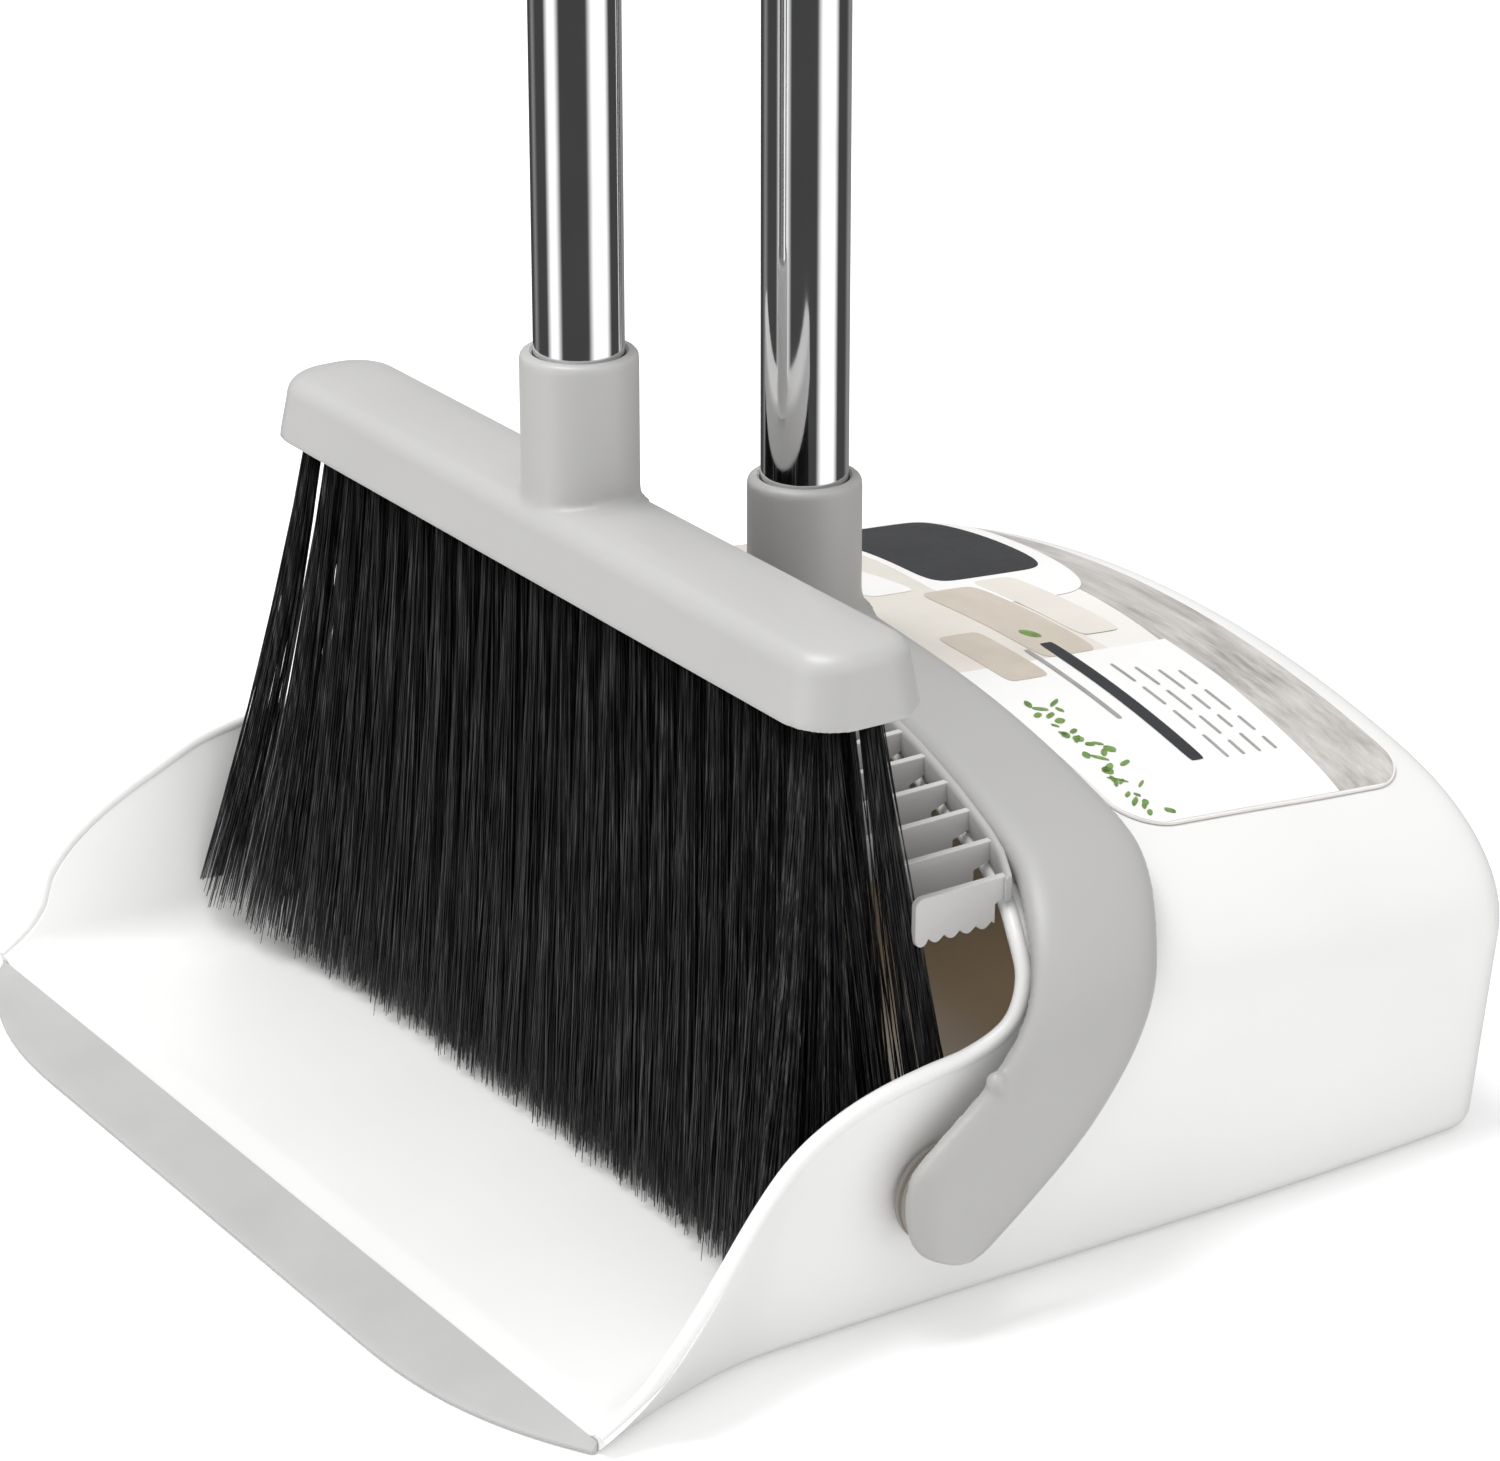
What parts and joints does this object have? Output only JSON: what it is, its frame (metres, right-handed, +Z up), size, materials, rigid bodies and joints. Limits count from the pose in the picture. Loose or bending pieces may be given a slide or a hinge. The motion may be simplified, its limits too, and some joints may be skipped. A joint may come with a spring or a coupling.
{
  "type": "long-handled broom and dustpan set",
  "caption": "Long-handled broom stored upright in a hooded dustpan, with a comb for its bristles on the pan's folding yoke and round metal poles held by a clip.",
  "frame": {"origin": "on the ground under the middle of the set's bounding box", "axes": "+Z up along the poles; the pan's open front edge faces -Y and its closed back faces +Y; X = 0 is the plane of symmetry"},
  "size_m": [0.32, 0.2951, 1.285],
  "materials": {
    "white_plastic": "satin moulded polypropylene, white",
    "grey_plastic": "fine matt moulded plastic, warm light grey",
    "grey_rubber": "soft matt rubber, light grey",
    "inner_plastic": "plain moulded plastic, dark grey",
    "polished_steel": "polished stainless tube",
    "bristle_fibre": "coarse crimped synthetic fibre, black",
    "printed_film": null
  },
  "bodies": {
    "pan": {"pan_shell": "white_plastic", "lip_strip": "grey_rubber", "label": "printed_film", "pivot_pin_left": "grey_plastic", "pivot_pin_right": "grey_plastic", "pivot_bush_left": "grey_plastic", "pivot_bush_right": "grey_plastic"},
    "handle": {"yoke": "grey_plastic", "comb": "grey_plastic", "pan_thread_tip": "inner_plastic", "pan_tube_lower": "polished_steel", "pan_connector": "grey_plastic", "pan_tube_upper": "polished_steel", "pan_grip": "grey_plastic"},
    "clip": {"pole_clip": "grey_plastic"},
    "broom": {"broom_head": "grey_plastic", "tuft_block": "inner_plastic", "bristle_row_front": "bristle_fibre", "bristle_row_middle": "bristle_fibre", "bristle_row_rear": "bristle_fibre", "broom_thread_tip": "inner_plastic", "broom_tube_lower": "polished_steel", "broom_connector_lower": "grey_plastic", "broom_tube_middle": "polished_steel", "broom_connector_upper": "grey_plastic", "broom_tube_upper": "polished_steel", "broom_grip": "grey_plastic"}
  },
  "joints": [
    {"name": "handle_fold", "type": "hinge", "parent": "pan", "child": "handle", "pos_m": [0, -0.03, 0.0335], "axis": [1, 0, 0], "range_deg": [0, 60]},
    {"name": "clip_slide", "type": "slide", "parent": "handle", "child": "clip", "axis": [0, 0, 1], "range_m": [0, 0.032]},
    {"name": "broom_lift", "type": "slide", "parent": "clip", "child": "broom", "axis": [0, 0, 1], "range_m": [0, 0.25]}
  ],
  "couplings": [
    {"joint": "clip_slide", "follows": "handle_fold", "m_per_rad": 0.03}
  ]
}
